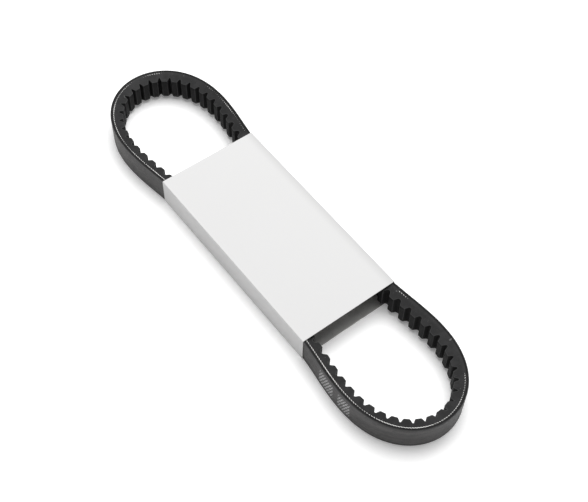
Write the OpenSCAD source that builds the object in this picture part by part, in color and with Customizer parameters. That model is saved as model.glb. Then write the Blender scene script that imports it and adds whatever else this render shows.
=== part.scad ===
/* [View] */
// Sub-part to draw, or "all"

/* [Belt section] */
// Width of the belt across its back
belt_w = 20; // [19.3:0.1:20.7]
// Thickness from the back to the tips of the cogs
belt_t = 8.6; // [8.3:0.1:9]
// Angle between the two flanks, in degrees
v_angle = 30; // [26:1:32]
// Thickness of the woven cover on the back
back_ply = 0.5; // [0.4:0.1:0.7]
// Thickness of the rubber over the cord, under the back cover
overcord_t = 0.9; // [0.7:0.1:1]
// Depth of the cord's centre under the back
cord_depth = 2.1; // [2:0.05:2.2]
// Diameter of the tensile cord
cord_d = 0.9; // [0.7:0.05:1]
// Turns of cord side by side across the belt
cord_turns = 16; // [11:1:16]
// Depth under the back where the compression rubber starts
adhesion_end = 2.9; // [2.8:0.1:3.2]
// Thickness of the woven facing over the cogs
facing_t = 0.4; // [0.3:0.05:0.5]

/* [Belt length and cogs] */
// Outer length of the belt, round its back
belt_len = 743; // [736:1:748]
// Cogs round the inside of the belt
cogs = 85; // [81:2:87]
// Height of a cog from valley floor to tip
cog_h = 3; // [2.5:0.1:3.2]
// Width of a cog at its base
cog_base = 6.9; // [6.5:0.1:7]
// Lean of a cog's sides, in degrees
cog_lean = 29; // [25:1:30]
// Rounding at the corners of a cog's tip
tip_r = 1.1; // [0.9:0.1:1.2]

/* [How the belt lies] */
// Radius of the back at the tip of the near loop
near_r = 33.8; // [33.5:0.1:34.2]
// Radius of the back at the tip of the far loop
far_r = 34.5; // [34.1:0.1:34.9]
// Angle at which the belt leaves the sleeve's near mouth, in degrees
near_flare = 5.6; // [4.8:0.1:6.3]
// Angle at which the belt leaves the sleeve's far mouth, in degrees
far_flare = 8.3; // [7.5:0.1:8.7]
// How far each strand bows inward inside the sleeve
strand_bow = 3.4; // [2.6:0.1:3.6]

/* [Sleeve] */
// Thickness of the folded card
card_t = 0.4; // [0.3:0.05:0.6]
// Clearance between the belt's edges and the card above it
card_gap = 0.1; // [0.1:0.05:0.4]
// Inside radius of a fold in the card
fold_r = 0.2; // [0.1:0.05:0.4]
// Width of the glued lap under the sleeve
lap_w = 20; // [14:1:26]
// Thickness of the line of glue in the lap
glue_t = 0.05; // [0.05:0.01:0.1]

/* [Hidden] */
$fn = 64;
deg = 180 / PI;
lean = tan(v_angle / 2);
z_low = card_t;
z_high = z_low + belt_w;
root_d = belt_t - cog_h;

// A loop of the belt bends as a springy strip does: its curvature falls in step with the distance from the tip.
// Half a loop is a chain of tangent arcs, [radius, angle], from the tip to the sleeve's mouth.
arcs_per_half = 7;
near_half = 111.1;
far_half = 110.2;
near_fade = 0.000386;
far_fade = 0.000363;
function to2(v) = round(v * 100) / 100;
function sum(v, i = 0) = i == len(v) ? 0 : v[i] + sum(v, i + 1);
function loop_arcs(n, h, k0, fade, turned, stop, x = 0, th = 90) =
    let (xm = x + cos(th + (k0 + fade * x) * h * deg / 4) * h / 2,
         k = k0 + fade * xm,
         r = to2(1 / k),
         a = n == 1 ? to2(stop - turned) : to2(k * h * deg))
    n == 1 ? [[to2(h * deg / a), a]]
    : concat([[r, a]], loop_arcs(n - 1, h, k0, fade, turned + a, stop, x + r * (sin(th + a) - sin(th)), th + a));
near_arcs = loop_arcs(arcs_per_half, near_half / arcs_per_half, 1 / near_r, near_fade, 0, 90 + near_flare);
far_arcs = loop_arcs(arcs_per_half, far_half / arcs_per_half, 1 / far_r, far_fade, 0, 90 + far_flare);
function arc_len(v) = sum([for (s = v) s[0] * s[1] / deg]);
function rev(v) = [for (i = [len(v) - 1:-1:0]) v[i]];

// Where a chain of arcs ends, from [x, y, heading]
function ahead(p, s) = s[0] == 0
    ? [p[0] + s[1] * cos(p[2]), p[1] + s[1] * sin(p[2]), p[2]]
    : [p[0] + s[0] * (sin(p[2] + s[1]) - sin(p[2])), p[1] + s[0] * (cos(p[2]) - cos(p[2] + s[1])), p[2] + s[1]];
function walk(p, v, i = 0) = i == len(v) ? p : walk(ahead(p, v[i]), v, i + 1);
near_end = walk([0, 0, 90], near_arcs);
far_end = walk([0, 0, 90], far_arcs);

// Each strand inside the sleeve is an arc, a straight and an arc, bowing inward
y_mid = near_end[1] - strand_bow;
strand_r1 = (near_end[1] - y_mid) / (1 - cos(near_flare));
strand_r2 = (far_end[1] - y_mid) / (1 - cos(far_flare));
straight = to2(belt_len / 2 - arc_len(near_arcs) - arc_len(far_arcs) - (strand_r1 * near_flare + strand_r2 * far_flare) / deg);
sleeve_len = strand_r1 * sin(near_flare) + straight + strand_r2 * sin(far_flare);

// The belt's length runs along X, and X is 0 half way between the tips
tip_to_tip = -near_end[0] - far_end[0] + sleeve_len;
near_tip = tip_to_tip / 2;
mouth_near = near_tip + near_end[0];
mouth_far = -near_tip - far_end[0];
sleeve_half = to2(max(near_end[1], far_end[1]) + 0.1);
sleeve_h = z_high + card_gap + card_t;

// Half of the belt's back line, from the near tip round to the far tip
half_path = concat(near_arcs, [[-strand_r1, -near_flare], [0, straight], [-strand_r2, -far_flare]], rev(far_arcs));
function seg_len(s) = s[0] == 0 ? s[1] : s[0] * s[1] / deg;
starts = [for (i = 0, p = [near_tip, 0, 90]; i <= len(half_path); p = i < len(half_path) ? ahead(p, half_path[i]) : p, i = i + 1) p];
function part_of(s, d) = s[0] == 0 ? [0, d] : [s[0], d / s[0] * deg];
function along(d, i = 0) = d <= seg_len(half_path[i]) || i == len(half_path) - 1
    ? ahead(starts[i], part_of(half_path[i], d))
    : along(d - seg_len(half_path[i]), i + 1);
// Point and heading on the back line at distance s from the near tip, either way round
function place(s) = s < 0 ? place(s + belt_len) : s > belt_len ? place(s - belt_len)
    : s <= belt_len / 2 ? along(s)
    : let (p = along(belt_len - s)) [p[0], -p[1], 540 - p[2]];

// Moves by a whole part, thousandths and what is left
module shift(x, y) {
    x1 = floor(x * 1000) / 1000;
    y1 = floor(y * 1000) / 1000;
    translate([floor(x), floor(y), 0]) translate([x1 - floor(x), y1 - floor(y), 0]) translate([x - x1, y - y1, 0]) children();
}

// Carries a section, drawn as [depth under the back, height], along half of the belt
module half_sweep() {
    for (i = [0:len(half_path) - 1]) {
        s = half_path[i];
        p = starts[i];
        r = abs(s[0]);
        r1 = floor(r * 1000) / 1000;
        if (s[0] == 0)
            shift(p[0], p[1]) rotate([90, 0, 270]) linear_extrude(s[1]) children();
        else
            shift(p[0] - s[0] * sin(p[2]), p[1] + s[0] * cos(p[2]))
                rotate_extrude(start = s[0] > 0 ? p[2] - 90 : p[2] + 90 + s[1], angle = abs(s[1]), $fn = r > 200 ? 1440 : 360)
                    translate([floor(r), 0]) translate([r1 - floor(r), 0]) translate([r - r1, 0]) scale([s[0] > 0 ? -1 : 1, 1]) children();
    }
}
module sweep() {
    half_sweep() children();
    mirror([0, 1, 0]) half_sweep() children();
}

// A layer of the belt between two depths, trimmed by the flanks
module layer(d0, d1) {
    polygon([[d0, z_low + d0 * lean], [d1, z_low + d1 * lean], [d1, z_high - d1 * lean], [d0, z_high - d0 * lean]]);
}

cord_pitch = (belt_w - 2 * cord_depth * lean - 0.33) / (cord_turns - 1);
function cord_z(i) = (z_low + z_high) / 2 + (i - (cord_turns - 1) / 2) * cord_pitch;
// Section of one turn of cord, pressed to an octagon between its neighbours
module cord_section(i) {
    translate([cord_depth, cord_z(i)]) rotate(22.5) circle(r = cord_d / 2 / cos(22.5), $fn = 8);
}
module cord_sections() {
    for (i = [0:cord_turns - 1]) cord_section(i);
}

pitch = belt_len / cogs;
// The gap between two cogs, grown by e on every side. Bending closes or opens it
module valley(s, e) {
    a = place(s - pitch / 2);
    b = place(s + pitch / 2);
    p = place(s);
    turn = b[2] - a[2] - 360 * round((b[2] - a[2]) / 360);
    k = turn / deg / pitch;
    phi = cog_lean - turn / 2;
    half_gap = (pitch * (1 - k * root_d) - cog_base) / 2;
    root_r = half_gap * cos(phi) / (1 - sin(phi));
    root_y = root_d + root_r;
    // centre of the rounding at the tip of the next cog
    yc0 = belt_t - tip_r + 0.03;
    xc0 = half_gap + (yc0 - root_d) * tan(phi) + tip_r / cos(phi);
    yc = yc0 + k * xc0 * xc0 / 2 / (1 - k * yc0);
    xc = half_gap + (yc - root_d) * tan(phi) + tip_r / cos(phi);
    t = [cos(phi), -sin(phi)];
    rr = root_r + e;
    rt = tip_r - e;
    shift(p[0], p[1]) rotate([0, 0, p[2]]) translate([0, 0, -1]) linear_extrude(belt_w + 3) {
        difference() {
            polygon([
                [0, root_y], [rr * t[0], root_y + rr * t[1]], [xc - rt * t[0], yc - rt * t[1]], [xc, yc], [xc, belt_t + 2],
                [-xc, belt_t + 2], [-xc, yc], [-xc + rt * t[0], yc - rt * t[1]], [-rr * t[0], root_y + rr * t[1]]
            ]);
            for (m = [-1, 1]) translate([m * xc, yc]) circle(r = rt + 0.01, $fn = 40);
        }
        translate([0, root_y]) circle(r = rr + 0.01, $fn = 40);
    }
}
// The gaps along half of the belt, with a cog centred on the near tip
module half_valleys(e) {
    for (i = [0:ceil(cogs / 2) - 1]) valley((i + 0.5) * pitch, e);
}
module both_halves() {
    children();
    mirror([0, 1, 0]) children();
}

// Woven cover cured onto the belt's back
module back_fabric() color([0.33, 0.33, 0.34]) sweep() layer(0, back_ply);

// Rubber between the back cover and the cord's bed
module overcord_rubber() color([0.1, 0.1, 0.1]) sweep() layer(back_ply, back_ply + overcord_t);

// Soft rubber above the cord's centre, moulded round the cord
module adhesion_rubber_upper() color([0.16, 0.16, 0.16]) sweep() difference() {
    layer(back_ply + overcord_t, cord_depth);
    cord_sections();
}

// Turns of cord side by side, each a separate ring. The flanks trim the outermost ones
module tensile_cord() color([0.78, 0.75, 0.68]) {
    for (i = [1:cord_turns - 2]) sweep() cord_section(i);
    for (i = [0, cord_turns - 1]) sweep() intersection() {
        layer(cord_depth - cord_d, cord_depth + cord_d);
        cord_section(i);
    }
}

// Soft rubber below the cord's centre
module adhesion_rubber_lower() color([0.16, 0.16, 0.16]) sweep() difference() {
    layer(cord_depth, adhesion_end);
    cord_sections();
}

// Body of the belt with the cogs, inside the facing
module compression_rubber() color([0.12, 0.12, 0.12]) both_halves() difference() {
    half_sweep() layer(adhesion_end, belt_t - facing_t);
    half_valleys(facing_t);
}

// Woven facing that follows the cogs
module cog_facing_fabric() color([0.2, 0.2, 0.2]) both_halves() difference() {
    half_sweep() layer(root_d - facing_t - 0.3, belt_t);
    half_valleys(0);
    difference() {
        half_sweep() translate([root_d - facing_t - 1, -0.5]) square([belt_t - root_d + 1, belt_w + 2]);
        half_valleys(facing_t);
    }
}

// One panel of card in the sleeve's section
module panel(y0, z0, y1, z1) {
    translate([y0, z0]) square([y1 - y0, z1 - z0]);
}
fold_out = fold_r + card_t;
module fold(y, z) {
    intersection() {
        translate([y, z]) difference() {
            circle(r = fold_out, $fn = 48);
            circle(r = fold_r, $fn = 48);
        }
        translate([y > 0 ? y : y - fold_out, z > sleeve_h / 2 ? z : z - fold_out]) square(fold_out);
    }
}

// Card folded round the belt, one piece, with its ends lapped under the middle
module sleeve_section() {
    w = sleeve_half + card_t;
    panel(-w + fold_out, sleeve_h - card_t, w - fold_out, sleeve_h);
    panel(-w, fold_out, -w + card_t, sleeve_h - fold_out);
    panel(w - card_t, fold_out, w, sleeve_h - fold_out);
    for (m = [-1, 1]) {
        fold(m * (w - fold_out), sleeve_h - fold_out);
        fold(m * (w - fold_out), fold_out);
    }
    panel(-w + fold_out, 0, lap_w / 2, card_t);
    polygon([
        [w - fold_out, 0], [w - fold_out, card_t], [lap_w / 2 + 2.5, card_t], [lap_w / 2 + 0.5, 2 * card_t + glue_t],
        [-lap_w / 2, 2 * card_t + glue_t], [-lap_w / 2, card_t + glue_t], [lap_w / 2 + 0.5, card_t + glue_t], [lap_w / 2 + 2.5, 0]
    ]);
}
module along_sleeve() {
    translate([mouth_far, 0, 0]) rotate([90, 0, 90]) linear_extrude(sleeve_len) children();
}
module sleeve_card() color([0.94, 0.94, 0.93]) along_sleeve() sleeve_section();

// Line of glue between the two layers of the lap
module sleeve_glue() color([0.8, 0.74, 0.55]) translate([mouth_far + 2, -lap_w / 2 + 2, card_t])
    cube([sleeve_len - 4, lap_w - 4, glue_t]);

back_fabric();
overcord_rubber();
adhesion_rubber_upper();
tensile_cord();
adhesion_rubber_lower();
compression_rubber();
cog_facing_fabric();
sleeve_card();
sleeve_glue();
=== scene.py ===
import math
import bpy
import numpy as np
from mathutils import Matrix, Vector


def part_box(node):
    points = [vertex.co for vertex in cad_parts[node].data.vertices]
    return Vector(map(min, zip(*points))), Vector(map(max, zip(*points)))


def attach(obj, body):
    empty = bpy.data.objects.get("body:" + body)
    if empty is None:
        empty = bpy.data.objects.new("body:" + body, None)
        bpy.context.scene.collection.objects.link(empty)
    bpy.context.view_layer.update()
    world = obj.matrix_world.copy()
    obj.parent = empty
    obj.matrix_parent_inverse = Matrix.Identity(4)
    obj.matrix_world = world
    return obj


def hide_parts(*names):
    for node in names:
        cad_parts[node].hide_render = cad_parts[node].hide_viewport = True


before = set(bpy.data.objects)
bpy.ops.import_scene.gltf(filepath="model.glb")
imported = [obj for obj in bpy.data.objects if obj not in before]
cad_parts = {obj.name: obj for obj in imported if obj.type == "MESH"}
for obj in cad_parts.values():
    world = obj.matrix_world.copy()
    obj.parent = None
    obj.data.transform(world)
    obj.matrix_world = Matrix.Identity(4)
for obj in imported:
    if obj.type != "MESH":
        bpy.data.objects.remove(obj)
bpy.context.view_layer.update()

MM = 0.001

# ---------------------------------------------------------------- belt sizes, in millimetres, as in the CAD part
BELT_T, BACK, OVER, CORD_D0, CORD_DIA, ADH_END, FACING = 8.6, 0.5, 0.9, 2.1, 0.9, 2.9, 0.4
BELT_LEN, CORD_TURNS = 743.0, 16
NEAR_R, NEAR_FADE, NEAR_HALF, NEAR_FLARE = 33.8, 0.000386, 111.1, 5.6
FAR_R, FAR_FADE, FAR_HALF, FAR_FLARE = 34.5, 0.000363, 110.2, 8.3
STRAND_BOW = 3.4
COGS, COG_H, COG_BASE, COG_LEAN, TIP_R = 85, 3.0, 6.9, 29.0, 1.1
LEAN = math.tan(math.radians(15))
ROOT = BELT_T - COG_H

back_lo, back_hi = (np.array(v) * 1000 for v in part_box("back_fabric"))
card_lo, card_hi = (np.array(v) * 1000 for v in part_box("sleeve_card"))
Z_LOW, Z_HIGH = back_lo[2], back_hi[2]
NEAR_TIP = back_hi[0]
MOUTH_FAR, MOUTH_NEAR = card_lo[0], card_hi[0]
WIDTH = Z_HIGH - Z_LOW


# ---------------------------------------------------------------- the belt's back line
def loop_arcs(k0, fade, half, stop, n=7):
    """Tangent arcs [radius, angle] of half a loop, whose curvature falls with the distance from the tip."""
    out, x, th, h, turned = [], 0.0, 90.0, half / n, 0.0
    for i in range(n):
        xm = x + math.cos(math.radians(th) + (k0 + fade * x) * h / 4) * h / 2
        k = k0 + fade * xm
        r = round(1 / k, 2)
        a = round(math.degrees(k * h), 2) if i < n - 1 else round(stop - turned, 2)
        if i == n - 1:
            r = round(math.degrees(h) / a, 2)
        out.append((r, a))
        x += r * (math.sin(math.radians(th + a)) - math.sin(math.radians(th)))
        th += a
        turned += a
    return out


def ahead(p, r, a, length=None):
    x, y, th = p
    t = math.radians(th)
    if r == 0:
        return (x + length * math.cos(t), y + length * math.sin(t), th)
    e = math.radians(th + a)
    return (x + r * (math.sin(e) - math.sin(t)), y + r * (math.cos(t) - math.cos(e)), th + a)


near_arcs = loop_arcs(1 / NEAR_R, NEAR_FADE, NEAR_HALF, 90 + NEAR_FLARE)
far_arcs = loop_arcs(1 / FAR_R, FAR_FADE, FAR_HALF, 90 + FAR_FLARE)


def end_of(arcs):
    p = (0.0, 0.0, 90.0)
    for r, a in arcs:
        p = ahead(p, r, a)
    return p


near_end, far_end = end_of(near_arcs), end_of(far_arcs)
Y_MID = near_end[1] - STRAND_BOW
R1 = (near_end[1] - Y_MID) / (1 - math.cos(math.radians(NEAR_FLARE)))
R2 = (far_end[1] - Y_MID) / (1 - math.cos(math.radians(FAR_FLARE)))
arc_len = lambda v: sum(abs(math.radians(a) * r) for r, a in v)
STRAIGHT = round(BELT_LEN / 2 - arc_len(near_arcs) - arc_len(far_arcs) - R1 * math.radians(NEAR_FLARE) - R2 * math.radians(FAR_FLARE), 2)
path = [(r, a, abs(math.radians(a) * r)) for r, a in near_arcs]
path += [(-R1, -NEAR_FLARE, R1 * math.radians(NEAR_FLARE)), (0, 0, STRAIGHT), (-R2, -FAR_FLARE, R2 * math.radians(FAR_FLARE))]
path += [(r, a, abs(math.radians(a) * r)) for r, a in reversed(far_arcs)]
starts = [(NEAR_TIP, 0.0, 90.0)]
for r, a, length in path:
    starts.append(ahead(starts[-1], r, a, length))
ends = np.cumsum([0] + [p[2] for p in path])
LENGTH = 2 * ends[-1]
PITCH = LENGTH / COGS


def place(s):
    """Point, heading in radians and curvature of the back line, for an array of distances from the near tip."""
    s = np.mod(np.asarray(s, float), LENGTH)
    flip = s > LENGTH / 2
    t = np.where(flip, LENGTH - s, s)
    i = np.clip(np.searchsorted(ends, t, side="right") - 1, 0, len(path) - 1)
    out = np.zeros((len(s), 4))
    for n in range(len(path)):
        m = i == n
        if not m.any():
            continue
        r, a, length = path[n]
        x, y, th = starts[n]
        th = math.radians(th)
        d = t[m] - ends[n]
        if r == 0:
            out[m] = np.c_[x + d * math.cos(th), y + d * math.sin(th), np.full(m.sum(), th), np.zeros(m.sum())]
        else:
            e = th + d / r
            out[m] = np.c_[x + r * (np.sin(e) - math.sin(th)), y + r * (math.cos(th) - np.cos(e)), e, np.full(m.sum(), 1 / r)]
    out[flip, 1] *= -1
    out[flip, 2] = 3 * math.pi - out[flip, 2]
    return out


def at_depth(s, d):
    p = place(s)
    n = np.c_[-np.sin(p[:, 2]), np.cos(p[:, 2])]
    return p[:, :2] + n * np.asarray(d, float).reshape(-1, 1)


# ---------------------------------------------------------------- meshes
def add_mesh(name, verts, faces, uvs=None, attrs=None, sharp=40):
    me = bpy.data.meshes.new(name)
    me.from_pydata([tuple(v) for v in np.asarray(verts) * MM], [], [tuple(int(i) for i in f) for f in faces])
    if uvs is not None:
        layer = me.uv_layers.new(name="UVMap")
        layer.data.foreach_set("uv", np.asarray(uvs, float).ravel())
    me.validate()
    me.update()
    for p in me.polygons:
        p.use_smooth = True
    me.set_sharp_from_angle(angle=math.radians(sharp))
    for key, values in (attrs or {}).items():
        a = me.attributes.new(key, "FLOAT", "POINT")
        a.data.foreach_set("value", np.asarray(values, float))
    ob = bpy.data.objects.new(name, me)
    bpy.context.scene.collection.objects.link(ob)
    return ob


def grid_loop(name, rows, s, v, attrs=None, sharp=40):
    """A closed band: rows[i] is an (n, 3) ring of points round the belt. Rows follow each other round the section, which closes too.
    s is each station's distance along the belt and v each row's distance round the section, both in millimetres, for the UVs."""
    rows = [np.asarray(r) for r in rows]
    m, n = len(rows), len(rows[0])
    verts = np.concatenate(rows)
    s = np.asarray(s)
    faces, uvs = [], []
    s2 = np.append(s, s[0] + LENGTH)
    for i in range(m):
        k = (i + 1) % m
        v0, v1 = v[i], v[i + 1]
        for j in range(n):
            q = (j + 1) % n
            faces.append((i * n + j, i * n + q, k * n + q, k * n + j))
            uvs += [(s2[j], v0), (s2[j + 1], v0), (s2[j + 1], v1), (s2[j], v1)]
    # faces look outward: a closed mesh whose faces look inward has a negative volume
    q = verts[np.array(faces)]
    volume = sum(np.einsum("ij,ij->i", q[:, 0], np.cross(q[:, k], q[:, k + 1])).sum() for k in (1, 2))
    uvs = np.array(uvs).reshape(-1, 4, 2)
    if volume < 0:
        faces, uvs = [f[::-1] for f in faces], uvs[:, ::-1]
    return add_mesh(name, verts, faces, uvs.reshape(-1, 2) * 0.01, attrs, sharp)


def section_v(dz):
    """Distance round a closed section of [depth, height] points, with the closing step."""
    p = np.array(list(dz) + [dz[0]])
    return np.append(0, np.cumsum(np.hypot(*np.diff(p, axis=0).T)))


def sweep(name, dz, count=900, wave=None, sharp=40):
    """Carries a closed section of [depth, height] points round the whole belt."""
    s = np.arange(count) * LENGTH / count
    rows = []
    for d, z in dz:
        xy = at_depth(s, np.full(count, d))
        rows.append(np.c_[xy, np.full(count, z)])
    return grid_loop(name, rows, s, section_v(dz), sharp=sharp)


def flank(d, top):
    return Z_HIGH - d * LEAN if top else Z_LOW + d * LEAN


def band(d0, d1, round_at_d0=0.0, steps=4, rows_on_face=7):
    """Section of a layer between two depths. Its outer corners can be rounded."""
    pts = [(d1, flank(d1, False)), (d1, flank(d1, True))]
    r = round_at_d0
    if r:
        arc = []
        for i in range(steps + 1):
            a = math.radians(75) * i / steps
            # from the flank round to the back
            arc.append((d0 + r - r * math.sin(a + math.radians(15)) * 1.0, r * math.cos(a + math.radians(15))))
        top = [(d, Z_HIGH - d0 * LEAN - r * 1.2 + h) for d, h in arc]
        pts += [(d0 + r * 1.3, flank(d0 + r * 1.3, True))] + top
        zt, zb = top[-1][1], Z_LOW + Z_HIGH - top[-1][1]
        for i in range(1, rows_on_face):
            pts.append((d0, zt + (zb - zt) * i / rows_on_face))
        pts += [(d, Z_LOW + Z_HIGH - z) for d, z in reversed(top)] + [(d0 + r * 1.3, flank(d0 + r * 1.3, False))]
    else:
        pts += [(d0, flank(d0, True)), (d0, flank(d0, False))]
    return pts


# ---------------------------------------------------------------- the cogs' outline, seen across the belt
ROOT_STEPS, SIDE_STEPS, TIP_STEPS, TOP_STEPS = 9, 4, 6, 4


def half_valley(s0, e):
    """Places of the ends and the middle of the gap centred at s0, one pitch apart, and how far the belt turns between
    the ends.
    """
    a, b, p = place([s0 - PITCH / 2, s0 + PITCH / 2, s0])
    turn = (b[2] - a[2] + math.pi) % (2 * math.pi) - math.pi
    return a, b, p, turn


def cog_outline(e, per=None):
    """The outline grown by e into the rubber, as arrays (n, 2) of points and (n,) of depths and distances."""
    pts, depth, dist = [], [], []
    for i in range(COGS):
        s0 = (i + 0.5) * PITCH
        a, b, p = place([s0 - PITCH / 2, s0 + PITCH / 2, s0])
        turn = (b[2] - a[2] + math.pi) % (2 * math.pi) - math.pi
        k = turn / PITCH
        phi = math.radians(COG_LEAN) - turn / 2
        gap = (PITCH * (1 - k * ROOT) - COG_BASE) / 2
        rr0 = gap * math.cos(phi) / (1 - math.sin(phi))
        ry = ROOT + rr0
        yc0 = BELT_T - TIP_R
        xc0 = gap + (yc0 - ROOT) * math.tan(phi) + TIP_R / math.cos(phi)
        yc = yc0 + k * xc0 * xc0 / 2 / (1 - k * yc0)
        xc = gap + (yc - ROOT) * math.tan(phi) + TIP_R / math.cos(phi)
        rr, rt = rr0 + e, TIP_R - e
        side = []
        for n in range(ROOT_STEPS + 1):  # root arc, from its bottom
            t = (math.pi / 2 - phi) * n / ROOT_STEPS
            side.append((rr * math.sin(t), ry - rr * math.cos(t)))
        x0, y0 = side[-1]
        x1, y1 = xc - rt * math.cos(phi), yc + rt * math.sin(phi)
        for n in range(1, SIDE_STEPS):
            side.append((x0 + (x1 - x0) * n / SIDE_STEPS, y0 + (y1 - y0) * n / SIDE_STEPS))
        # tip arc, up to where it runs along the tip
        tilt = k * xc / max(1e-9, 1 - k * yc)
        for n in range(TIP_STEPS + 1):
            t = phi + (math.pi / 2 - phi + tilt) * n / TIP_STEPS
            side.append((xc - rt * math.cos(t), yc + rt * math.sin(t)))
        side = np.array(side)
        # local frame of the gap: along the belt and into it
        T = np.array([math.cos(p[2]), math.sin(p[2])])
        N = np.array([-math.sin(p[2]), math.cos(p[2])])
        for m in (-1, 1):
            loc = side[::-1] if m < 0 else side[1:]
            xy = p[:2] + np.outer(loc[:, 0] * m, T) + np.outer(loc[:, 1], N)
            if k == 0 or abs(k) < 1e-6:
                dep, ds = loc[:, 1], loc[:, 0]
            else:
                R = 1 / k
                dep = R - np.sign(R) * np.hypot(loc[:, 0], R - loc[:, 1])
                ds = R * np.arctan2(loc[:, 0] * np.sign(R), abs(R - loc[:, 1]))
            pts.append(xy)
            depth.append(dep)
            dist.append(s0 + m * np.abs(ds))
    pts, depth, dist = np.concatenate(pts), np.concatenate(depth), np.concatenate(dist)
    return pts, np.clip(depth, 0, BELT_T), dist


def fill_tips(e):
    """Outline with extra points across each tip."""
    pts, depth, dist = cog_outline(e)
    per = len(pts) // COGS
    P, D, S = [], [], []
    for i in range(COGS):
        a = slice(i * per, (i + 1) * per)
        P.append(pts[a]); D.append(depth[a]); S.append(dist[a])
        j, q = (i + 1) * per - 1, ((i + 1) * per) % len(pts)
        s0, s1 = dist[j], dist[q] + (LENGTH if q == 0 else 0)
        t = np.arange(1, TOP_STEPS) / TOP_STEPS
        s = s0 + (s1 - s0) * t
        d = depth[j] + (depth[q] - depth[j]) * t
        P.append(at_depth(s, d)); D.append(d); S.append(s)
    return np.concatenate(P), np.concatenate(D), np.concatenate(S)


C0 = fill_tips(0.0)
CB = fill_tips(0.14)
CF = fill_tips(FACING)
# Rounding of the cogs' ends: how far the outline is drawn in, and how far below the flank. The lower ends are rounder
END_LOW = [(0.36, 0.0), (0.24, 0.16), (0.13, 0.4), (0.05, 0.75), (0.0, 1.25)]


def ring(outline, z):
    return np.c_[outline[0], z]


def cog_faces():
    s = C0[2]
    z = lambda c, top, down=0.0: (np.array([flank(d, top) for d in c[1]]) + (-down if top else down))
    rows = [ring(CF, z(CF, False)), ring(CF, z(CF, True)), ring(CB, z(CB, True)), ring(C0, z(C0, True, 0.14))]
    zt, zb = z(C0, True, 0.14), z(C0, False, END_LOW[-1][1])
    steps = 6
    for i in range(1, steps):
        rows.append(ring(C0, zt + (zb - zt) * i / steps))
    low = []
    for e, down in reversed(END_LOW):
        c = fill_tips(e)
        low.append(ring(c, z(c, False, down)))
    rows += low
    w = WIDTH - 2 * 7 * LEAN
    v = [0, w, w + 0.26, w + 0.46] + [w + 0.46 + w * i / steps for i in range(1, steps)]
    v += [2 * w + 0.46 + k * 0.12 for k, (e, down) in enumerate(END_LOW)] + [2 * w + 1.2]
    tip = np.clip((C0[1] - (BELT_T - COG_H)) / COG_H, 0, 1)
    return grid_loop("cog_facing", rows, s, v, {"tip": np.tile(tip, len(rows))})


def core():
    s = CF[2]
    rows = []
    out = at_depth(s, np.full(len(s), ADH_END))
    z = lambda c, top: np.array([flank(d, top) for d in c[1]])
    n = len(s)
    mid_d = (CF[1] + ADH_END) / 2
    mid = (CF[0] + out) / 2
    rows = [
        np.c_[out, np.full(n, flank(ADH_END, False))], np.c_[out, np.full(n, flank(ADH_END, True))],
        np.c_[mid, [flank(d, True) for d in mid_d]], ring(CF, z(CF, True)), ring(CF, z(CF, False)), np.c_[mid, [flank(d, False) for d in mid_d]],
    ]
    w = WIDTH
    return grid_loop("compression_core", rows, s, [0, w, w + 2, w + 4, 2 * w + 2, 2 * w + 4, 2 * w + 6])


belt_pieces = {}
back_section = band(0, BACK, 0.16)
back = sweep("back_cover", back_section, 900)
on_face = section_v(back_section)[:-1][[d < 0.01 for d, z in back_section]]
BACK_V0, BACK_V1 = float(on_face[0]), float(on_face[-1])
over = sweep("overcord", band(BACK, BACK + OVER), 900)
adh_u = sweep("adhesion_upper", band(BACK + OVER, CORD_D0), 900)
adh_l = sweep("adhesion_lower", band(CORD_D0, ADH_END), 900)
comp = core()
facing = cog_faces()

# ---------------------------------------------------------------- cord
# How far the outermost turn shows at the flank, round the belt from the near tip: distance, share
SHOWN_TOP = [(0, 0.85), (14, 0.75), (22, 0.6), (31, 0.45), (35, 0.0), (94, 0.0), (96, 0.2), (102, 0.2), (104, 0.0), (250, 0.0), (258, 0.17), (318, 0.17), (326, 0.0), (342, 0.0), (347, 0.16),
             (358, 0.14), (368, 0.2), (376, 0.5), (395, 0.65), (470, 0.75), (620, 0.9), (658, 0.95), (668, 0.8), (680, 0.8), (690, 0.95), (729, 0.9)]


def rope(name, z_centre, sunk, strands=3, lay=5.2, count=3000, around=18, side=0):
    """A twisted cord: strands wound round each other, running round the belt at the cord line.
    sunk is how far its centre lies inside the flank, in millimetres, at each station (an array), or None for a turn inside the belt."""
    s = np.arange(count) * LENGTH / count
    turns = round(LENGTH / lay)
    twist = 2 * math.pi * turns * s / LENGTH
    r_strand = CORD_DIA / 2 * 0.52
    off = CORD_DIA / 2 - r_strand
    rows = []
    for i in range(around):
        a = 2 * math.pi * i / around
        # outline of the twisted strands, in polar form about the centre
        rel = (a - twist) % (2 * math.pi / strands) - math.pi / strands
        rad = off * np.cos(rel) + np.sqrt(np.maximum(r_strand**2 - (off * np.sin(rel)) ** 2, 0))
        d = CORD_D0 + rad * math.cos(a)
        dz = rad * math.sin(a)
        if sunk is None:
            z = z_centre + dz
        else:
            z = z_centre + side * (-sunk) + dz
        xy = at_depth(s, d)
        rows.append(np.c_[xy, z])
    rows = rows[::-1]
    per = math.pi * CORD_DIA
    return grid_loop(name, rows, s, [per * i / around for i in range(around + 1)], sharp=60)


def shown(s):
    t = np.array(SHOWN_TOP)
    return np.interp(np.mod(s, LENGTH), t[:, 0] * LENGTH / 729, t[:, 1])


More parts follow.
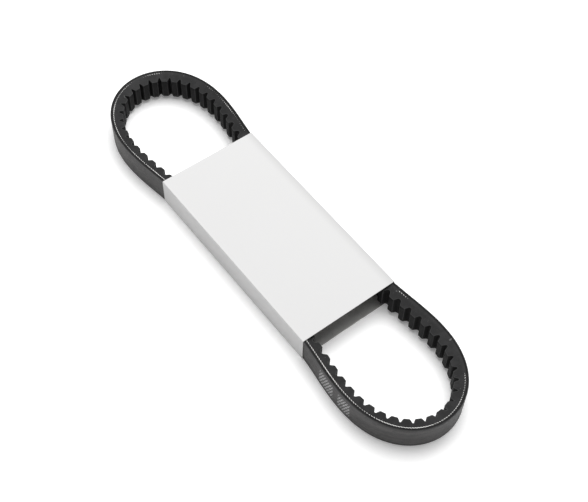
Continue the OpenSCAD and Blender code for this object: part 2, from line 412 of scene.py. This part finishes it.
count = 3000
s_c = np.arange(count) * LENGTH / count
drift = 0.05 * np.sin(2 * math.pi * s_c / 61) + 0.035 * np.sin(2 * math.pi * s_c / 23 + 1)
top_shown, low_shown = shown(s_c), shown(s_c + 250)
sink = lambda v: np.interp(v, [0, 0.12, 1], [0.6, 0.445, 0.345])
cords = []
edge_t, edge_b = flank(CORD_D0, True), flank(CORD_D0, False)
cords.append(rope("cord_turn_top", edge_t, sink(top_shown) + drift * 0.5, count=count, side=1))
cords.append(rope("cord_turn_bottom", edge_b, sink(low_shown) + drift * 0.5, count=count, side=-1))
pitch_c = (WIDTH - 2 * CORD_D0 * LEAN - 0.33) / (CORD_TURNS - 1)
for i in range(1, CORD_TURNS - 1):
    zc = (Z_LOW + Z_HIGH) / 2 + (i - (CORD_TURNS - 1) / 2) * pitch_c
    cords.append(rope(f"cord_turn_{i:02d}", zc, None, count=1200, around=9))

# ---------------------------------------------------------------- sleeve
T_C = 0.4
HW = card_hi[1]
H_S = card_hi[2]
LAP, GLUE_T = 20.0, 0.05
R_OUT, R_IN = 0.6, 0.2


def card_profile():
    """Middle line of the card in (y, z), from the outer lap's edge round to the inner lap's edge, with a tag for each
    point: its panel and how far along the panel it lies, used for the sag."""
    pts = []
    t = T_C / 2
    w, h = HW - t, H_S - t

    def line(y0, z0, y1, z1, n, kind):
        for i in range(n):
            f = i / n
            pts.append((y0 + (y1 - y0) * f, z0 + (z1 - z0) * f, kind, f))

    rf = (R_OUT + R_IN) / 2

    def corner(cy, cz, a0, a1, n=6):
        for i in range(n):
            a = math.radians(a0 + (a1 - a0) * i / n)
            pts.append((cy + rf * math.cos(a), cz + rf * math.sin(a), "fold", 0))

    line(LAP / 2, t, -w + rf, t, 40, "bottom")
    corner(-w + rf, t + rf, 270, 180)
    line(-w, t + rf, -w, h - rf, 12, "left")
    corner(-w + rf, h - rf, 180, 90)
    line(-w + rf, h, w - rf, h, 64, "top")
    corner(w - rf, h - rf, 90, 0)
    line(w, h - rf, w, t + rf, 12, "right")
    corner(w - rf, t + rf, 0, -90)
    line(w - rf, t, LAP / 2 + 3.0, t, 24, "bottom2")
    up = T_C + GLUE_T
    n = 8
    for i in range(n):
        f = i / n
        pts.append((LAP / 2 + 3.0 - 2.6 * f, t + up * (3 * f * f - 2 * f**3), "step", f))
    line(LAP / 2 + 0.4, t + up, -LAP / 2, t + up, 20, "lap")
    pts.append((-LAP / 2, t + up, "lap", 1))
    return pts


def sleeve():
    prof = card_profile()
    y = np.array([p[0] for p in prof])
    z = np.array([p[1] for p in prof])
    kind = [p[2] for p in prof]
    f = np.array([p[3] for p in prof])
    dy, dz = np.gradient(y), np.gradient(z)
    ln = np.hypot(dy, dz)
    ny, nz = dz / ln, -dy / ln  # outward: the profile runs clockwise seen from +X... set by sign below
    mid = len(prof) // 2
    if nz[kind.index("top") + 20] < 0:
        ny, nz = -ny, -nz
    along = np.append(0, np.cumsum(np.hypot(np.diff(y), np.diff(z))))
    x_end = 0.0
    edge = [0.0, 0.05, 0.12, 0.25, 0.6, 1.5, 3, 5, 8, 12]
    xs = [MOUTH_FAR + e for e in edge] + list(np.linspace(MOUTH_FAR + 16, MOUTH_NEAR - 16, 48)) + [MOUTH_NEAR - e for e in reversed(edge)]
    xs = np.array(xs)
    n, m = len(xs), len(y)
    half = T_C / 2
    outer, inner = [], []
    for x in xs:
        u = (x - MOUTH_FAR) / (MOUTH_NEAR - MOUTH_FAR)
        # cut ends: the card's edges are a little pinched by the knife
        pinch = 1.0
        e = min(x - MOUTH_FAR, MOUTH_NEAR - x)
        if e < 0.25:
            pinch = 1 - 0.12 * (1 - e / 0.25) ** 2
        sag = np.zeros(m)
        for j in range(m):
            if kind[j] == "top":
                v = f[j]
                sag[j] = -0.055 * math.sin(math.pi * v) ** 2 * (0.6 + 0.4 * math.sin(math.pi * u))
            elif kind[j] in ("left", "right"):
                sag[j] = -0.05 * math.sin(math.pi * f[j]) * math.sin(math.pi * u)
        oy, oz = y + ny * (half * pinch + sag), z + nz * (half * pinch + sag)
        iy, iz = y - ny * (half * pinch - sag), z - nz * (half * pinch - sag)
        roll = np.clip((y - (HW - 8)) / 8, 0, 1) ** 2 * (z > H_S / 2)
        skew = 0.73 * (y + HW) / (2 * HW) * max(0.0, 1 - (x - MOUTH_FAR) / 40)
        oz, iz = oz - 0.07 * roll, iz - 0.07 * roll
        outer.append(np.c_[x + skew, oy, oz])
        inner.append(np.c_[x + skew, iy, iz])
    V = np.concatenate(outer + inner)
    faces, uvs, part = [], [], []
    o = lambda i, j: i * m + j
    q = lambda i, j: n * m + i * m + j

    def quad(a, b, c, d, uv):
        faces.append((a, b, c, d))
        uvs.extend(uv)

    for i in range(n - 1):
        for j in range(m - 1):
            uv = [(xs[i], along[j]), (xs[i], along[j + 1]), (xs[i + 1], along[j + 1]), (xs[i + 1], along[j])]
            quad(o(i, j), o(i, j + 1), o(i + 1, j + 1), o(i + 1, j), uv); part.append(0)
            quad(q(i, j), q(i + 1, j), q(i + 1, j + 1), q(i, j + 1), [uv[0], uv[3], uv[2], uv[1]]); part.append(1)
    for i, sgn in ((0, 1), (n - 1, -1)):
        for j in range(m - 1):
            a = (o(i, j), q(i, j), q(i, j + 1), o(i, j + 1))
            uv = [(0, along[j]), (T_C, along[j]), (T_C, along[j + 1]), (0, along[j + 1])]
            if sgn < 0:
                a, uv = a[::-1], uv[::-1]
            quad(*a, uv); part.append(2)
    for j, sgn in ((0, -1), (m - 1, 1)):
        for i in range(n - 1):
            a = (o(i, j), q(i, j), q(i + 1, j), o(i + 1, j))
            uv = [(xs[i], 0), (xs[i], T_C), (xs[i + 1], T_C), (xs[i + 1], 0)]
            if sgn > 0:
                a, uv = a[::-1], uv[::-1]
            quad(*a, uv); part.append(2)
    crease = np.zeros(m)
    for j in range(m):
        if kind[j] == "fold":
            crease[j] = 1
    for j in range(m):
        d = min([abs(j - k) for k in range(m) if kind[k] == "fold"] + [99])
        crease[j] = max(0.0, 1 - d / 3)
    # painted shade: the top panel is coloured darker over its last 7 mm towards the +Y fold, for the shade on its
    # rounding into that fold, and the whole -Y side wall is coloured darker, for the side the light reaches less
    painted_shade = np.array([max(0.0, (y[j] - (HW - 7)) / 7) ** 1.5 if kind[j] in ("top", "fold") and z[j] > H_S / 2 else 0.3 if kind[j] == "left" else 0.0 for j in range(m)])
    ob = add_mesh("card_sleeve", V, faces, np.array(uvs) * 0.01, {"crease": np.tile(crease, 2 * n), "painted_shade": np.tile(painted_shade, 2 * n)}, sharp=50)
    me = ob.data
    import bmesh
    bm = bmesh.new(); bm.from_mesh(me); bmesh.ops.recalc_face_normals(bm, faces=bm.faces[:]); bm.to_mesh(me); bm.free()
    return ob, part


card, card_part = sleeve()

glue_lo, glue_hi = (np.array(v) * 1000 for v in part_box("sleeve_glue"))


def glue_line():
    """The glue: a thin squeezed film with a wavy edge."""
    nx, ny = 90, 8
    xs = np.linspace(0, 1, nx)
    ys = np.linspace(-1, 1, ny)
    V, F, U = [], [], []
    for side in (0, 1):
        for i, u in enumerate(xs):
            wob = 1 - 0.05 * abs(math.sin(u * 41.0)) - 0.04 * abs(math.sin(u * 97 + 1))
            for v in ys:
                end = 1.0
                x = glue_lo[0] + (glue_hi[0] - glue_lo[0]) * u
                yy = (glue_lo[1] + glue_hi[1]) / 2 + v * wob * (glue_hi[1] - glue_lo[1]) / 2
                V.append((x, yy, glue_lo[2] if side == 0 else glue_hi[2]))
    g = lambda s, i, j: s * nx * ny + i * ny + j
    for i in range(nx - 1):
        for j in range(ny - 1):
            F.append((g(1, i, j), g(1, i + 1, j), g(1, i + 1, j + 1), g(1, i, j + 1)))
            F.append((g(0, i, j), g(0, i, j + 1), g(0, i + 1, j + 1), g(0, i + 1, j)))
    for i in range(nx - 1):
        F.append((g(0, i, 0), g(0, i + 1, 0), g(1, i + 1, 0), g(1, i, 0)))
        F.append((g(0, i, ny - 1), g(1, i, ny - 1), g(1, i + 1, ny - 1), g(0, i + 1, ny - 1)))
    for j in range(ny - 1):
        F.append((g(0, 0, j), g(1, 0, j), g(1, 0, j + 1), g(0, 0, j + 1)))
        F.append((g(0, nx - 1, j), g(0, nx - 1, j + 1), g(1, nx - 1, j + 1), g(1, nx - 1, j)))
    return add_mesh("glue_film", V, F)


glue = glue_line()


# ---------------------------------------------------------------- materials
class Mat:
    def __init__(self, name):
        self.m = bpy.data.materials.new(name)
        self.m.use_nodes = True
        self.t = self.m.node_tree
        self.t.nodes.clear()
        self.out = self.add("ShaderNodeOutputMaterial")
        self.b = self.add("ShaderNodeBsdfPrincipled")
        self.link(self.b.outputs[0], self.out.inputs[0])

    def add(self, kind, **props):
        n = self.t.nodes.new(kind)
        for k, v in props.items():
            setattr(n, k, v)
        return n

    def link(self, a, b):
        self.t.links.new(a, b)

    def uv(self, scale=(1, 1, 1), rot=0.0):
        c = self.add("ShaderNodeTexCoord")
        m = self.add("ShaderNodeMapping")
        m.inputs["Scale"].default_value = scale
        m.inputs["Rotation"].default_value = (0, 0, rot)
        self.link(c.outputs["UV"], m.inputs["Vector"])
        return m.outputs[0]

    def obj(self, scale=(1, 1, 1)):
        c = self.add("ShaderNodeTexCoord")
        m = self.add("ShaderNodeMapping")
        m.inputs["Scale"].default_value = scale
        self.link(c.outputs["Object"], m.inputs["Vector"])
        return m.outputs[0]

    def noise(self, vec, scale, detail=4.0, rough=0.5, dist=0.0):
        n = self.add("ShaderNodeTexNoise")
        n.inputs["Scale"].default_value = scale
        n.inputs["Detail"].default_value = detail
        n.inputs["Roughness"].default_value = rough
        n.inputs["Distortion"].default_value = dist
        self.link(vec, n.inputs["Vector"])
        return n.outputs[0]

    def ramp(self, fac, stops):
        r = self.add("ShaderNodeValToRGB")
        e = r.color_ramp.elements
        while len(e) > 1:
            e.remove(e[0])
        e[0].position, e[0].color = stops[0][0], (*stops[0][1], 1)
        for p, c in stops[1:]:
            x = e.new(p)
            x.color = (*c, 1)
        self.link(fac, r.inputs[0])
        return r.outputs[0]

    def math(self, op, a, b=None, clamp=False):
        n = self.add("ShaderNodeMath", operation=op, use_clamp=clamp)
        for i, v in enumerate((a, b)):
            if v is None:
                continue
            if isinstance(v, (int, float)):
                n.inputs[i].default_value = v
            else:
                self.link(v, n.inputs[i])
        return n.outputs[0]

    def mix(self, fac, a, b):
        n = self.add("ShaderNodeMix", data_type="RGBA")
        for k, v in ((0, fac), (6, a), (7, b)):
            if isinstance(v, (int, float)):
                n.inputs[k].default_value = v
            elif isinstance(v, tuple):
                n.inputs[k].default_value = (*v, 1)
            else:
                self.link(v, n.inputs[k])
        return n.outputs[2]

    def bump(self, height, strength, distance, normal=None):
        n = self.add("ShaderNodeBump")
        n.inputs["Strength"].default_value = strength
        n.inputs["Distance"].default_value = distance
        self.link(height, n.inputs["Height"])
        if normal is not None:
            self.link(normal, n.inputs["Normal"])
        return n.outputs[0]

    def set(self, color=None, rough=None, normal=None, spec=None, **more):
        for key, v in (("Base Color", color), ("Roughness", rough), ("Normal", normal), ("Specular IOR Level", spec), *[(k.replace("_", " "), v) for k, v in more.items()]):
            if v is None:
                continue
            if isinstance(v, (int, float)):
                self.b.inputs[key].default_value = v
            elif isinstance(v, tuple):
                self.b.inputs[key].default_value = (*v, 1)
            else:
                self.link(v, self.b.inputs[key])
        return self.m


def weave(m, pitch_mm, rot):
    """Height of a plain weave: two crossed sets of threads, over and under. UVs are in units of 10 mm... 0.01 of a millimetre count."""
    vec = m.uv((100.0 / pitch_mm, 100.0 / pitch_mm, 1), rot)
    sep = m.add("ShaderNodeSeparateXYZ")
    m.link(vec, sep.inputs[0])
    u, v = sep.outputs[0], sep.outputs[1]
    su = m.math("SINE", m.math("MULTIPLY", u, math.pi))
    sv = m.math("SINE", m.math("MULTIPLY", v, math.pi))
    cu = m.math("SINE", m.math("MULTIPLY", m.math("ADD", u, 0.5), math.pi))
    cv = m.math("SINE", m.math("MULTIPLY", m.math("ADD", v, 0.5), math.pi))
    warp = m.math("MULTIPLY", m.math("ABSOLUTE", su), m.math("ADD", m.math("MULTIPLY", m.math("MULTIPLY", cu, cv), 0.5), 0.5))
    weft = m.math("MULTIPLY", m.math("ABSOLUTE", sv), m.math("SUBTRACT", 0.5, m.math("MULTIPLY", m.math("MULTIPLY", cu, cv), 0.5)))
    return m.math("MAXIMUM", warp, weft)


def band_mask(m, x, lo, hi, soft):
    """1 between lo and hi, with soft edges, all in millimetres of x."""
    up = m.math("DIVIDE", m.math("SUBTRACT", x, lo), soft, True)
    down = m.math("DIVIDE", m.math("SUBTRACT", hi, x), soft, True)
    return m.math("MULTIPLY", up, down)


def back_material():
    m = Mat("rubbered_cloth_back")
    h = weave(m, 0.62, math.radians(45))
    big = m.noise(m.uv((1, 1, 1)), 1.6, 3)
    fine = m.noise(m.uv((1, 1, 1)), 42, 4, 0.6)
    grain = m.noise(m.uv((1, 1.6, 1)), 13, 5, 0.7)
    streak = m.noise(m.uv((0.35, 3, 1)), 7, 3, 0.6)
    base = m.ramp(big, [(0.3, (0.056, 0.0545, 0.055)), (0.7, (0.090, 0.0855, 0.084))])
    col = m.mix(m.math("MULTIPLY", fine, 0.5), base, (0.095, 0.093, 0.091))
    col = m.mix(m.math("MULTIPLY", m.math("SUBTRACT", 1.0, h), 0.45), col, (0.022, 0.022, 0.023))
    col = m.mix(m.math("MULTIPLY", m.math("GREATER_THAN", grain, 0.54), 0.4), col, (0.018, 0.018, 0.019))
    drawn = m.noise(m.uv((0.25, 9, 1)), 6, 4, 0.65)
    col = m.mix(m.ramp(drawn, [(0.38, (0, 0, 0)), (0.6, (0.85, 0.85, 0.85))]), col, (0.03, 0.0288, 0.0288))
    col = m.mix(m.math("MULTIPLY", m.math("GREATER_THAN", streak, 0.63), 0.14), col, (0.15, 0.145, 0.14))
    # place on the belt: millimetres along it, and across its back
    sep = m.add("ShaderNodeSeparateXYZ")
    m.link(m.uv((100, 100, 1)), sep.inputs[0])
    s_mm, v_mm = sep.outputs[0], sep.outputs[1]
    # two patches of worn light ink: rows of slanted dashes, no lettering
    slant = m.math("ADD", s_mm, m.math("MULTIPLY", v_mm, 0.45))
    dash = m.math("GREATER_THAN", m.math("FRACT", m.math("DIVIDE", slant, 1.9)), 0.44)
    rows_on = m.math("GREATER_THAN", m.math("FRACT", m.math("DIVIDE", v_mm, 3.1)), 0.22)
    where = m.math("MAXIMUM", band_mask(m, s_mm, LENGTH - 93, LENGTH - 77.5, 1.2), band_mask(m, s_mm, LENGTH - 73.5, LENGTH - 62, 1.2))
    where = m.math("MULTIPLY", where, band_mask(m, v_mm, BACK_V0 + 3.2, BACK_V1 - 2.6, 1.0))
    wear_and_highlight = m.math("GREATER_THAN", m.noise(m.uv((1, 1, 1)), 20, 4, 0.7), 0.42)
    ink = m.math("MULTIPLY", m.math("MULTIPLY", m.math("MULTIPLY", dash, rows_on), where), m.math("ADD", 0.2, m.math("MULTIPLY", wear_and_highlight, 0.55)))
    col = m.mix(ink, col, (0.5, 0.5, 0.505))
    # painted shade: the back is coloured much darker within about a millimetre of its upper and lower edges and round
    # onto its rims, for the contact shadow along its bottom and the shade on its rounded rims
    inside = m.math("MULTIPLY", m.math("DIVIDE", m.math("SUBTRACT", v_mm, BACK_V0 - 0.2), 1.1, True), m.math("DIVIDE", m.math("SUBTRACT", BACK_V1 + 0.1, v_mm), 1.7, True))
    col = m.mix(m.math("MULTIPLY", m.math("SUBTRACT", 1.0, inside), 0.88), col, (0.0075, 0.0075, 0.008))
    rough = m.math("ADD", 0.5, m.math("MULTIPLY", fine, 0.2))
    n1 = m.bump(h, 0.45, 0.00014)
    n2 = m.bump(m.math("ADD", m.math("MULTIPLY", fine, 0.5), grain), 0.35, 0.00014, n1)
    return m.set(col, rough, n2, 0.4)


def rubber_material(name, dark, light, rough=0.6, spec=0.35, grain=30, fibres=True):
    m = Mat(name)
    uv = m.uv((1, 1, 1))
    fine = m.noise(uv, grain * 2.2, 5, 0.65)
    big = m.noise(uv, 2.4, 3)
    col = m.mix(fine, dark, light)
    col = m.mix(m.math("MULTIPLY", big, 0.35), col, tuple(c * 1.25 for c in light))
    mottle = m.noise(m.uv((1, 1, 1)), 11, 5, 0.72)
    col = m.mix(m.ramp(mottle, [(0.42, (0, 0, 0)), (0.62, (0.75, 0.75, 0.75))]), col, tuple(c * 2.1 for c in light))
    lint = m.noise(m.uv((1, 1, 1)), 24, 2, 0.5)
    col = m.mix(m.ramp(lint, [(0.70, (0, 0, 0)), (0.76, (0.7, 0.7, 0.7))]), col, (0.16, 0.16, 0.162))
    nrm = m.bump(fine, 0.35, 0.00008)
    nrm = m.bump(mottle, 0.3, 0.00012, nrm)
    if fibres:
        fib = m.noise(m.uv((1.0, 0.22, 1)), grain * 4, 2, 0.5)
        dots = m.math("GREATER_THAN", fib, 0.68)
        col = m.mix(m.math("MULTIPLY", dots, 0.5), col, tuple(min(1, c * 4.2) for c in light))
        nrm = m.bump(fib, 0.35, 0.0001, nrm)
    r = m.math("ADD", rough - 0.1, m.math("MULTIPLY", fine, 0.2))
    return m.set(col, r, nrm, spec)


def facing_material():
    m = Mat("rubbered_cloth_facing")
    h = weave(m, 0.6, 0.0)
    fine = m.noise(m.uv((1, 1, 1)), 55, 4, 0.6)
    col = m.mix(fine, (0.0022, 0.0022, 0.0024), (0.0062, 0.0062, 0.0064))
    col = m.mix(m.math("MULTIPLY", m.math("SUBTRACT", 1.0, h), 0.4), col, (0.005, 0.005, 0.005))
    # painted shade and highlight: the facing is coloured dark in the gaps between the cogs and paler on their tips, for
    # the shade in the gaps, and paler still on the tips' rounded corners, as a painted highlight
    at = m.add("ShaderNodeAttribute", attribute_name="tip")
    col = m.mix(m.math("MULTIPLY", m.math("POWER", at.outputs["Fac"], 3.0), m.math("ADD", 0.35, m.math("MULTIPLY", fine, 0.5))), col, (0.0125, 0.0125, 0.0128))
    corner = band_mask(m, at.outputs["Fac"], 0.83, 0.985, 0.06)
    col = m.mix(m.math("MULTIPLY", corner, m.math("ADD", 0.2, m.math("MULTIPLY", fine, 0.8))), col, (0.075, 0.075, 0.076))
    # painted highlight: the facing is coloured paler along the cogs' rounded top and bottom ends, where the flank meets
    # the face
    sep = m.add("ShaderNodeSeparateXYZ")
    m.link(m.uv((100, 100, 1)), sep.inputs[0])
    w = WIDTH - 2 * 7 * LEAN
    rim_highlight = m.math("MAXIMUM", band_mask(m, sep.outputs[1], w - 0.1, w + 0.75, 0.15), band_mask(m, sep.outputs[1], 2 * w + 0.2, 2 * w + 0.9, 0.15))
    col = m.mix(m.math("MULTIPLY", rim_highlight, m.math("ADD", 0.25, m.math("MULTIPLY", fine, 0.6))), col, (0.07, 0.07, 0.071))
    n1 = m.bump(h, 0.3, 0.00012)
    n2 = m.bump(fine, 0.25, 0.00006, n1)
    return m.set(col, m.math("ADD", 0.62, m.math("MULTIPLY", fine, 0.22)), n2, 0.16)


def cord_material():
    m = Mat("cord_yarn")
    uv = m.uv((1, 1, 1))
    fil = m.noise(m.uv((0.9, 9, 1)), 60, 3, 0.6)
    dirt = m.noise(uv, 9, 4, 0.65)
    col = m.mix(fil, (0.72, 0.71, 0.69), (0.95, 0.945, 0.93))
    smear = m.ramp(dirt, [(0.56, (0, 0, 0)), (0.66, (1, 1, 1))])
    bw = m.add("ShaderNodeRGBToBW")
    m.link(smear, bw.inputs[0])
    col = m.mix(m.math("MULTIPLY", bw.outputs[0], 0.6), col, (0.06, 0.058, 0.055))
    n = m.bump(fil, 0.5, 0.00008)
    return m.set(col, 0.78, n, 0.25)


def card_outer():
    m = Mat("white_board")
    uv = m.uv((1, 1, 1))
    fib = m.noise(m.uv((1.0, 1.6, 1)), 26, 6, 0.62)
    big = m.noise(uv, 0.9, 3)
    speck = m.noise(uv, 95, 3, 0.5)
    col = m.mix(big, (0.602, 0.600, 0.599), (0.619, 0.617, 0.616))
    col = m.mix(m.math("MULTIPLY", m.math("GREATER_THAN", speck, 0.7), 0.1), col, (0.5, 0.49, 0.48))
    at = m.add("ShaderNodeAttribute", attribute_name="crease")
    # painted highlight: the board is coloured lighter along its folds, for the light caught by their rounding
    wear_and_highlight = m.math("MULTIPLY", at.outputs["Fac"], m.math("ADD", 0.25, m.math("MULTIPLY", fib, 0.6)))
    col = m.mix(m.math("MULTIPLY", wear_and_highlight, 0.4), col, (0.74, 0.738, 0.735))
    # painted shade: the board is mixed towards grey by the per-vertex shade attribute, on the -Y side wall and on the
    # top panel beside its +Y fold
    painted_shade_attr = m.add("ShaderNodeAttribute", attribute_name="painted_shade")
    col = m.mix(m.math("MULTIPLY", painted_shade_attr.outputs["Fac"], 0.5), col, (0.36, 0.358, 0.356))
    n1 = m.bump(fib, 0.12, 0.00006)
    n2 = m.bump(big, 0.1, 0.0008, n1)
    return m.set(col, m.math("ADD", 0.5, m.math("MULTIPLY", fib, 0.15)), n2, 0.3)


def card_inner():
    m = Mat("grey_board")
    uv = m.uv((1, 1, 1))
    fib = m.noise(m.uv((1.0, 2.0, 1)), 34, 6, 0.66)
    speck = m.noise(uv, 80, 3, 0.6)
    col = m.mix(fib, (0.40, 0.396, 0.39), (0.5, 0.496, 0.487))
    col = m.mix(m.math("MULTIPLY", m.math("GREATER_THAN", speck, 0.66), 0.3), col, (0.1, 0.098, 0.093))
    n = m.bump(fib, 0.25, 0.00008)
    return m.set(col, 0.85, n, 0.2)


def card_edge():
    m = Mat("board_edge")
    uv = m.uv((1, 1, 1))
    lay = m.noise(m.uv((40, 1.5, 1)), 10, 4, 0.6)
    col = m.mix(lay, (0.72, 0.715, 0.7), (0.88, 0.875, 0.865))
    n = m.bump(lay, 0.4, 0.0001)
    return m.set(col, 0.85, n, 0.2)


def glue_material():
    m = Mat("dry_glue")
    h = m.noise(m.obj((1, 1, 1)), 300, 3)
    col = m.mix(h, (0.55, 0.47, 0.28), (0.68, 0.6, 0.4))
    return m.set(col, 0.35, m.bump(h, 0.3, 0.0001), 0.5)


back.data.materials.append(back_material())
over.data.materials.append(rubber_material("overcord_rubber", (0.0026, 0.0026, 0.0026), (0.0056, 0.0056, 0.0056), 0.6, 0.12, fibres=False))
adh = rubber_material("adhesion_gum", (0.0045, 0.0045, 0.0047), (0.0085, 0.0085, 0.0088), 0.55, 0.22, fibres=False)
adh_u.data.materials.append(adh)
adh_l.data.materials.append(adh)
comp.data.materials.append(rubber_material("compression_rubber", (0.0048, 0.0048, 0.005), (0.0098, 0.0098, 0.0101), 0.62, 0.22))
facing.data.materials.append(facing_material())
yarn = cord_material()
for c in cords:
    c.data.materials.append(yarn)
for f_ in (card_outer(), card_inner(), card_edge()):
    card.data.materials.append(f_)
card.data.polygons.foreach_set("material_index", np.array(card_part, dtype=np.int32))
glue.data.materials.append(glue_material())

# ---------------------------------------------------------------- what stands for what, and what it rides on
for ob, node, body, slot in (
    (back, "back_fabric", "belt", "back_cover"), (over, "overcord_rubber", "belt", "overcord"), (adh_u, "adhesion_rubber_upper", "belt", "adhesion"),
    (adh_l, "adhesion_rubber_lower", "belt", "adhesion"), (comp, "compression_rubber", "belt", "compression"),
    (facing, "cog_facing_fabric", "belt", "facing"), (card, "sleeve_card", "sleeve", "card"), (glue, "sleeve_glue", "sleeve", "glue"),
):
    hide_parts(node)
    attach(ob, body)
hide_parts("tensile_cord")
for c in cords:
    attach(c, "belt")

# ---------------------------------------------------------------- floor, light and camera
scene = bpy.context.scene
me = bpy.data.meshes.new("floor")
me.from_pydata([(-6, -6, -0.00003), (6, -6, -0.00003), (6, 6, -0.00003), (-6, 6, -0.00003)], [], [(0, 1, 2, 3)])
floor = bpy.data.objects.new("floor", me)
scene.collection.objects.link(floor)
fm = Mat("white_floor")
fm.set((0.97, 0.97, 0.97), 0.9, None, 0.0, Emission_Color=(1.0, 1.0, 1.0), Emission_Strength=0.16)
me.materials.append(fm.m)

world = bpy.data.worlds.new("studio")
scene.world = world
world.use_nodes = True
bg = world.node_tree.nodes["Background"]
bg.inputs[0].default_value = (1, 1, 1, 1)
bg.inputs[1].default_value = 0.3


def area(name, loc, target, size, power, color=(1, 1, 1)):
    light = bpy.data.lights.new(name, "AREA")
    light.shape = "RECTANGLE"
    light.size, light.size_y = size
    light.energy = power
    light.color = color
    ob = bpy.data.objects.new(name, light)
    scene.collection.objects.link(ob)
    ob.location = loc
    ob.rotation_euler = (Vector(target) - Vector(loc)).to_track_quat("-Z", "Y").to_euler()
    return ob


area("overhead", (-0.33, 0.4, 1.45), (0, 0, 0), (1.45, 1.45), 33)

cam_data = bpy.data.cameras.new("camera")
cam = bpy.data.objects.new("camera", cam_data)
scene.collection.objects.link(cam)
scene.camera = cam
AZ, EL, ROLL, F_PX, DIST = math.radians(51.3002), math.radians(55.7193), math.radians(1.5421), 1103.75, 0.71648
TARGET = Vector((0.00822, 0.00863, 0.0))
backv = Vector((math.sin(AZ) * math.cos(EL), -math.cos(AZ) * math.cos(EL), math.sin(EL)))
right = Vector((math.cos(AZ), math.sin(AZ), 0))
up = backv.cross(right)
r2 = right * math.cos(ROLL) + up * math.sin(ROLL)
u2 = up * math.cos(ROLL) - right * math.sin(ROLL)
rot = Matrix((r2, u2, backv)).transposed().to_4x4()
cam.matrix_world = Matrix.Translation(TARGET + backv * DIST) @ rot
cam_data.sensor_fit = "HORIZONTAL"
cam_data.sensor_width = 36
cam_data.lens = F_PX * 36 / 588
cam_data.clip_start = 0.01
cam_data.clip_end = 50
scene.view_settings.view_transform = "Standard"
scene.view_settings.look = "None"
